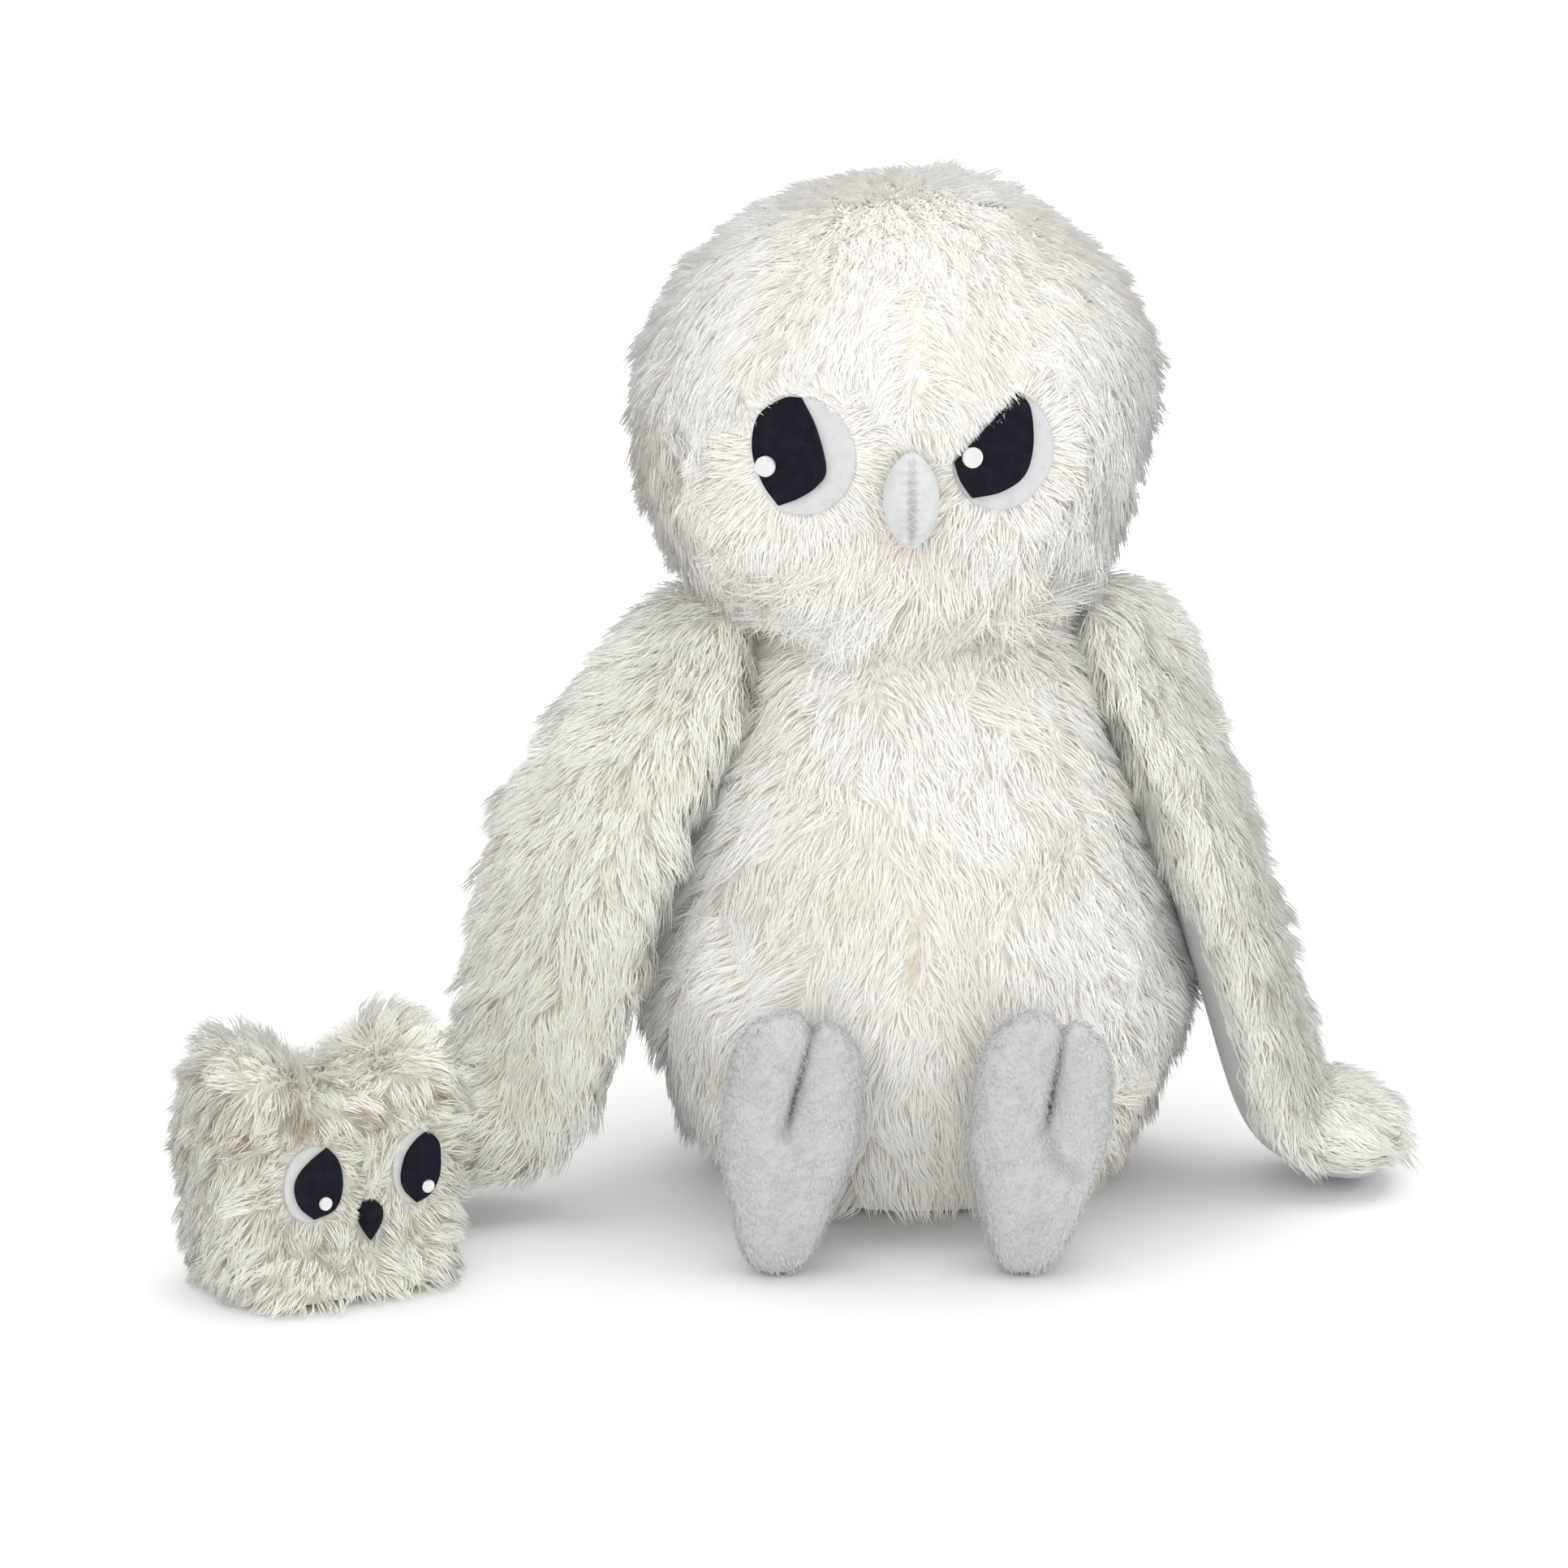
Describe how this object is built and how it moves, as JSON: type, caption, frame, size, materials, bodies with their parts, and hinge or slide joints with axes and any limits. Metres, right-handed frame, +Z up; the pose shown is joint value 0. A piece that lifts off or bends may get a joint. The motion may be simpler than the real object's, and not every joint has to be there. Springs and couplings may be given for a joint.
{
  "type": "plush owl",
  "caption": "Seated plush owl with long floppy wings, velour feet and a small baby owl held at a wing's hand; the head turns and nods, the wings swing and lift, the feet tilt.",
  "frame": {"origin": "middle of the flat seat under the body", "axes": "+Z up, -Y the way that the face looks, +X to the right of someone who faces the owl"},
  "size_m": [0.3383, 0.1952, 0.2887],
  "materials": {
    "cream_fur": "matte",
    "grey_fur": "matte",
    "grey_velour": "matte",
    "pale_felt": "matte",
    "dark_felt": "matte",
    "white_felt": "matte",
    "stuffing": "matte",
    "pellet_bag": "matte",
    "thread": "matte",
    "hook_tape": "matte",
    "loop_tape": "matte"
  },
  "bodies": {
    "body": {"body_cover": "cream_fur", "body_stuffing": "stuffing", "body_pellet_bag": "pellet_bag", "body_closing_thread": "thread", "leg_left": "grey_velour", "leg_right": "grey_velour"},
    "neck": {"neck_thread": "thread"},
    "head": {"head_cover": "cream_fur", "head_stuffing": "stuffing", "beak": "grey_velour", "eye_left_white": "pale_felt", "eye_left_pupil": "dark_felt", "eye_left_glint": "white_felt", "eye_right_white": "pale_felt", "eye_right_pupil": "dark_felt", "eye_right_glint": "white_felt"},
    "shoulder_left": {"shoulder_left_thread": "thread"},
    "wing_left": {"wing_left_cover": "grey_fur", "wing_left_lining": "grey_velour", "wing_left_stuffing": "stuffing", "hand_loop_patch": "loop_tape"},
    "shoulder_right": {"shoulder_right_thread": "thread"},
    "wing_right": {"wing_right_cover": "grey_fur", "wing_right_lining": "grey_velour", "wing_right_stuffing": "stuffing"},
    "foot_left": {"foot_left_cover": "grey_velour", "foot_left_stuffing": "stuffing"},
    "foot_right": {"foot_right_cover": "grey_velour", "foot_right_stuffing": "stuffing"},
    "baby": {"baby_cover": "grey_fur", "baby_stuffing": "stuffing", "baby_pellet_bag": "pellet_bag", "baby_beak": "dark_felt", "baby_eye_left_white": "pale_felt", "baby_eye_left_pupil": "dark_felt", "baby_eye_left_glint": "white_felt", "baby_eye_right_white": "pale_felt", "baby_eye_right_pupil": "dark_felt", "baby_eye_right_glint": "white_felt", "baby_hook_patch": "hook_tape"}
  },
  "joints": [
    {"name": "head_turn", "type": "hinge", "parent": "body", "child": "neck", "pos_m": [0, 0, 0.125], "axis": [0, 0, 1], "range_deg": [-25, 25]},
    {"name": "head_nod", "type": "hinge", "parent": "neck", "child": "head", "pos_m": [0, 0, 0.125], "axis": [1, 0, 0], "range_deg": [-8, 8]},
    {"name": "wing_left_swing", "type": "hinge", "parent": "body", "child": "shoulder_left", "pos_m": [-0.05653, -0.01515, 0.1393], "axis": [-0.9237, -0.2475, 0.2924], "range_deg": [-45, 60]},
    {"name": "wing_left_raise", "type": "hinge", "parent": "shoulder_left", "child": "wing_left", "pos_m": [-0.05311, -0.01423, 0.156], "axis": [-0.2588, 0.9659, 0], "range_deg": [0, 35]},
    {"name": "wing_right_swing", "type": "hinge", "parent": "body", "child": "shoulder_right", "pos_m": [0.0583, -0.0051, 0.1393], "axis": [-0.9527, 0.0833, -0.2924], "range_deg": [-45, 60]},
    {"name": "wing_right_raise", "type": "hinge", "parent": "shoulder_right", "child": "wing_right", "pos_m": [0.05478, -0.00479, 0.156], "axis": [-0.0872, -0.9962, 0], "range_deg": [0, 50]},
    {"name": "foot_left_tilt", "type": "hinge", "parent": "body", "child": "foot_left", "pos_m": [-0.035, -0.078, 0.0095], "axis": [1, 0, 0], "range_deg": [0, 40]},
    {"name": "foot_right_tilt", "type": "hinge", "parent": "body", "child": "foot_right", "pos_m": [0.032, -0.078, 0.0095], "axis": [1, 0, 0], "range_deg": [0, 40]},
    {"name": "baby_detach", "type": "slide", "parent": "wing_left", "child": "baby", "axis": [0.5, -0.866, 0], "range_m": [0, 0.03]}
  ]
}
